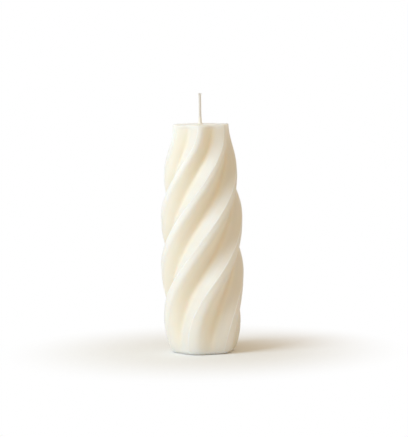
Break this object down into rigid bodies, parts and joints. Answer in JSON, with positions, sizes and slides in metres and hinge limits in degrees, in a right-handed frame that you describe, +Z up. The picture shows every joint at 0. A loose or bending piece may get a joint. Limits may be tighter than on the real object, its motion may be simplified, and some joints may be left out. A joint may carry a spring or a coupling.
{
  "type": "spiral pillar candle",
  "caption": "Ivory pillar candle with a barrel-shaped body of twisted ribs, a flat top and foot, an upright braided wick and a tin wick sustainer under the base.",
  "frame": {"origin": "centre of the base, on the surface that the candle stands on", "axes": "+Z up along the wick, -Y towards the rib that faces front at the top"},
  "size_m": [0.0538, 0.0538, 0.1705],
  "materials": {
    "ivory_wax": "satin, translucent paraffin wax",
    "braided_cotton": "matte braided cotton, waxed at the foot",
    "wick_core_yarn": "matte twisted yarn",
    "tin_plate": "bright tin plate"
  },
  "bodies": {
    "root": {"wax_body": "ivory_wax", "wick_sheath": "braided_cotton", "wick_core": "wick_core_yarn", "wick_sustainer": "tin_plate"}
  },
  "joints": []
}
